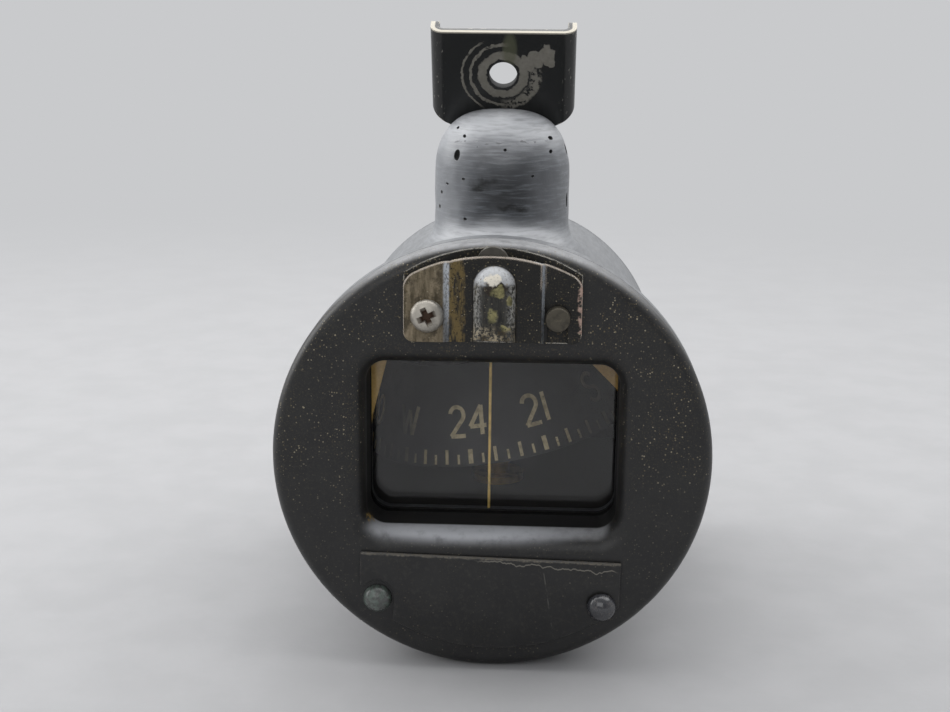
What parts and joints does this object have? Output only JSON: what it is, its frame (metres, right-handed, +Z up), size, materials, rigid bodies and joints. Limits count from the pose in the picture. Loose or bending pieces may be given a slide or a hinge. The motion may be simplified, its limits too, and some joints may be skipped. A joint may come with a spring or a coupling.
{
  "type": "aircraft compass",
  "caption": "Liquid-filled aircraft compass: round black bezel with a window and lamp tray, floating card, compensator behind a swinging cover, and a cast neck with a sheet bracket.",
  "frame": {"origin": "Centre of the bracket's hole, on the front face of its sheet.", "axes": "+X is to the right seen from the face, the face looks along -Y, and +Z is up along the neck."},
  "size_m": [0.074, 0.0881, 0.1082],
  "materials": {
    "bezel_paint": "flat black paint, dusty and worn at the rim",
    "case_paint": "dark grey paint, rubbed and pitted",
    "bracket_enamel": "glossy black enamel, bare at the edges and round the hole",
    "tray_paint": "black paint worn through to brass-brown metal",
    "plate_metal": "tarnished sheet",
    "bright_screw": "bright plated steel",
    "dull_screw": "dulled steel",
    "cover_screw": "painted over and mottled",
    "hidden_screw": "plain steel",
    "window_glass": "clear flat glass",
    "gasket": "black rubber",
    "brass": "aged brass",
    "lubber": "golden wire",
    "steel": "polished steel",
    "magnet": "dark magnet steel",
    "card_black": "black card with faded cream figures",
    "float": "light moulded float",
    "jewel": "synthetic ruby",
    "lamp_glass": "small lamp bulb",
    "insulator": "brown insulating disc",
    "seal": "red fibre seal"
  },
  "bodies": {
    "case": {"bezel": "bezel_paint", "front_gasket": "gasket", "window_glass": "window_glass", "rear_gasket": "gasket", "case_body": "case_paint", "case_screws": "hidden_screw", "lubber_line": "lubber", "pivot_stand": "brass", "pivot_spring": "steel", "diaphragm": "brass", "rear_cover": "case_paint", "rear_cover_screws": "hidden_screw", "filler_plug": "brass", "filler_seal": "seal", "mounting_bracket": "bracket_enamel", "bracket_screws": "hidden_screw", "bracket_washers": "hidden_screw", "light_back_plate": "plate_metal", "light_tray": "tray_paint", "lamp_insulator": "insulator", "lamp_socket": "brass", "lamp": "lamp_glass", "light_screw_left": "bright_screw", "light_screw_right": "dull_screw", "compensator_frame": "brass", "compensator_screws": "hidden_screw", "cover_pivot_screw": "cover_screw", "cover_pivot_washer": "dull_screw", "cover_stop_screw": "cover_screw"},
    "jewel_post": {"jewel_post": "brass", "jewel": "jewel"},
    "pivot_tip": {"pivot_ball": "steel"},
    "needle": {"pivot_needle": "steel"},
    "card": {"card_hub": "steel", "compass_card": "card_black", "card_float": "float", "card_magnets": "magnet"},
    "ew_adjuster": {"ew_adjuster": "brass", "ew_adjuster_magnet": "magnet"},
    "ew_idler": {"ew_idler": "brass", "ew_idler_magnet": "magnet"},
    "ns_adjuster": {"ns_adjuster": "brass"},
    "ns_crown": {"ns_crown": "brass", "ns_magnet": "magnet"},
    "cover": {"compensator_cover": "bezel_paint"}
  },
  "joints": [
    {"name": "jewel_shock", "type": "slide", "parent": "case", "child": "jewel_post", "axis": [0, 0, 1], "range_m": [-0.0008, 0], "stiffness_N_per_m": 600, "springref_m": 0.0005, "deforming": ["pivot_spring"]},
    {"name": "card_pitch", "type": "hinge", "parent": "jewel_post", "child": "pivot_tip", "pos_m": [0, 0.0015, -0.06063], "axis": [1, 0, 0], "range_deg": [-22.9, 13.1], "stiffness_Nm_per_rad": 0.0025, "springref_deg": -4.9},
    {"name": "card_roll", "type": "hinge", "parent": "pivot_tip", "child": "needle", "pos_m": [0, 0.0015, -0.06063], "axis": [0, 0.9963, 0.0854], "range_deg": [-7.2, 28.8], "stiffness_Nm_per_rad": 0.0025, "springref_deg": 10.8},
    {"name": "card_spin", "type": "hinge", "parent": "needle", "child": "card", "pos_m": [0, 0.0015, -0.06063], "axis": [-0.1874, -0.0839, 0.9787], "continuous": true},
    {"name": "cover_swing", "type": "hinge", "parent": "case", "child": "cover", "pos_m": [0.0191, -0.0431, -0.08623], "axis": [0, 1, 0], "range_deg": [-1.2, 95]},
    {"name": "ew_turn", "type": "hinge", "parent": "case", "child": "ew_adjuster", "pos_m": [0.0075, -0.0363, -0.08363], "axis": [0, 1, 0], "continuous": true},
    {"name": "ew_idler_turn", "type": "hinge", "parent": "case", "child": "ew_idler", "pos_m": [0.0026, -0.0363, -0.08363], "axis": [0, 1, 0], "continuous": true},
    {"name": "ns_turn", "type": "hinge", "parent": "case", "child": "ns_adjuster", "pos_m": [-0.0075, -0.0363, -0.08363], "axis": [0, 1, 0], "continuous": true},
    {"name": "ns_crown_turn", "type": "hinge", "parent": "case", "child": "ns_crown", "pos_m": [0, -0.0197, -0.08363], "axis": [1, 0, 0], "continuous": true}
  ],
  "couplings": [
    {"joint": "ew_idler_turn", "follows": "ew_turn", "ratio": -1},
    {"joint": "ns_crown_turn", "follows": "ns_turn", "ratio": 0.5}
  ]
}
